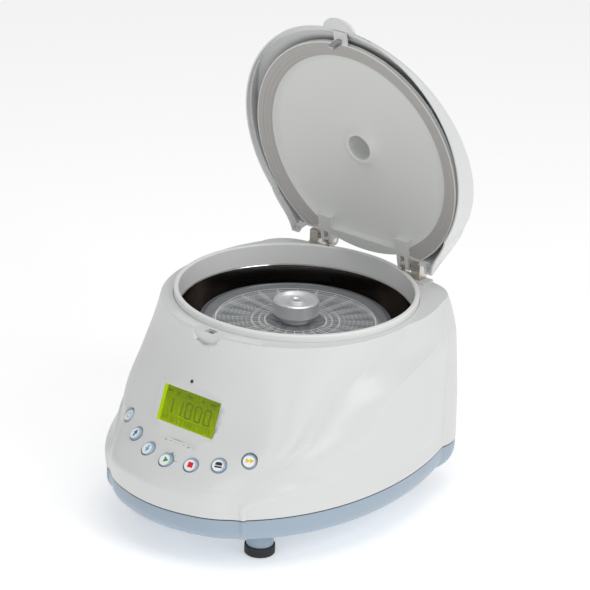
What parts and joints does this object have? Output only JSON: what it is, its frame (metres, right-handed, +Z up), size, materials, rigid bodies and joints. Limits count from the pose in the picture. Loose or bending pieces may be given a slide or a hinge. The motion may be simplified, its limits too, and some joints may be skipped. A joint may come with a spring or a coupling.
{
  "type": "hematocrit centrifuge",
  "caption": "Benchtop hematocrit centrifuge with open domed lid, spinning capillary rotor, curved key panel with display, and blue base tub",
  "frame": {"origin": "middle of the footprint of the bounding box, at table height", "axes": "+X right, +Y back, +Z up, seen from the key panel"},
  "size_m": [0.2962, 0.372, 0.4994],
  "materials": {
    "body_white": "satin moulded",
    "base_blue": "satin moulded",
    "lid_grey": "satin moulded",
    "collar_grey": "satin moulded",
    "black_rubber": "matte",
    "seam_black": "matte",
    "gasket_rubber": "soft matte",
    "bowl_steel": "turned",
    "hinge_steel": "satin",
    "pin_steel": "ground",
    "screw_steel": "plain",
    "rotor_aluminium": "anodised",
    "knob_aluminium": "turned",
    "plate_aluminium": "milled",
    "motor_black": "satin",
    "cover_clear": "clear",
    "window_clear": "clear",
    "display_clear": "clear",
    "lcd_green": "lit display",
    "lamp_green": "clear lens",
    "button_blue": "pearl",
    "symbol_white": "printed",
    "label_film": "printed film",
    "board_green": "solder mask",
    "switch_black": "plain",
    "latch_steel": "zinc plated",
    "inlet_black": "plain",
    "rocker_black": "printed"
  },
  "bodies": {
    "casing": {"upper_casing": "body_white", "base_tub": "base_blue", "seam_seal": "seam_black", "rubber_feet": "black_rubber", "case_screws": "screw_steel", "chamber_collar": "collar_grey", "steel_bowl": "bowl_steel", "rubber_dampers": "black_rubber", "motor_plate": "plate_aluminium", "motor": "motor_black", "top_bearing": "pin_steel", "shaft_boot": "black_rubber", "hinge_posts": "hinge_steel", "hinge_pins": "pin_steel", "hinge_legs": "hinge_steel", "display_window": "display_clear", "lcd_module": "lcd_green", "control_board": "board_green", "status_lamp": "lamp_green", "panel_switches": "switch_black", "latch_frame": "latch_steel", "top_labels": "label_film", "power_board": "board_green", "back_plate": "plate_aluminium", "power_inlet": "inlet_black", "rocker_frame": "inlet_black"},
    "lid": {"lid_shell": "body_white", "lid_liner": "lid_grey", "lid_gasket": "gasket_rubber", "sight_window": "window_clear", "lid_striker": "latch_steel"},
    "rotor": {"rotor_disc": "rotor_aluminium", "tube_seal": "gasket_rubber", "motor_shaft": "pin_steel"},
    "rotor_cover": {"reader_cover": "cover_clear", "rotor_knob": "knob_aluminium"},
    "latch": {"latch_bolt": "pin_steel"},
    "rocker": {"mains_rocker": "rocker_black"},
    "button_power": {"button_power": "button_blue", "symbol_power": "symbol_white"},
    "button_up": {"button_up": "button_blue", "symbol_up": "symbol_white"},
    "button_down": {"button_down": "button_blue", "symbol_down": "symbol_white"},
    "button_start": {"button_start": "button_blue", "symbol_start": "symbol_white"},
    "button_stop": {"button_stop": "button_blue", "symbol_stop": "symbol_white"},
    "button_open": {"button_open": "button_blue", "symbol_open": "symbol_white"},
    "button_spin": {"button_spin": "button_blue", "symbol_spin": "symbol_white"}
  },
  "joints": [
    {"name": "lid_hinge", "type": "hinge", "parent": "casing", "child": "lid", "pos_m": [0, 0.1525, 0.232], "axis": [1, 0, 0], "range_deg": [0, 78]},
    {"name": "rotor_spin", "type": "hinge", "parent": "casing", "child": "rotor", "pos_m": [0, 0.0355, 0.17], "axis": [0, 0, 1], "continuous": true},
    {"name": "cover_lift", "type": "slide", "parent": "rotor", "child": "rotor_cover", "axis": [0, 0, 1], "range_m": [0, 0.01]},
    {"name": "latch_slide", "type": "slide", "parent": "casing", "child": "latch", "axis": [1, 0, 0], "range_m": [0, 0.0075]},
    {"name": "rocker_tilt", "type": "hinge", "parent": "casing", "child": "rocker", "pos_m": [0.024, 0.1765, 0.092], "axis": [1, 0, 0], "range_deg": [0, 14]},
    {"name": "press_power", "type": "slide", "parent": "casing", "child": "button_power", "axis": [0.3493, 0.6148, -0.7071], "range_m": [0, 0.001], "stiffness_N_per_m": 150, "springref_m": -0.002},
    {"name": "press_up", "type": "slide", "parent": "casing", "child": "button_up", "axis": [0.247, 0.6626, -0.7071], "range_m": [0, 0.001], "stiffness_N_per_m": 150, "springref_m": -0.002},
    {"name": "press_down", "type": "slide", "parent": "casing", "child": "button_down", "axis": [0.1292, 0.6952, -0.7071], "range_m": [0, 0.001], "stiffness_N_per_m": 150, "springref_m": -0.002},
    {"name": "press_start", "type": "slide", "parent": "casing", "child": "button_start", "axis": [0, 0.7071, -0.7071], "range_m": [0, 0.001], "stiffness_N_per_m": 150, "springref_m": -0.002},
    {"name": "press_stop", "type": "slide", "parent": "casing", "child": "button_stop", "axis": [-0.1292, 0.6952, -0.7071], "range_m": [0, 0.001], "stiffness_N_per_m": 150, "springref_m": -0.002},
    {"name": "press_open", "type": "slide", "parent": "casing", "child": "button_open", "axis": [-0.247, 0.6626, -0.7071], "range_m": [0, 0.001], "stiffness_N_per_m": 150, "springref_m": -0.002},
    {"name": "press_spin", "type": "slide", "parent": "casing", "child": "button_spin", "axis": [-0.3493, 0.6148, -0.7071], "range_m": [0, 0.001], "stiffness_N_per_m": 150, "springref_m": -0.002}
  ]
}
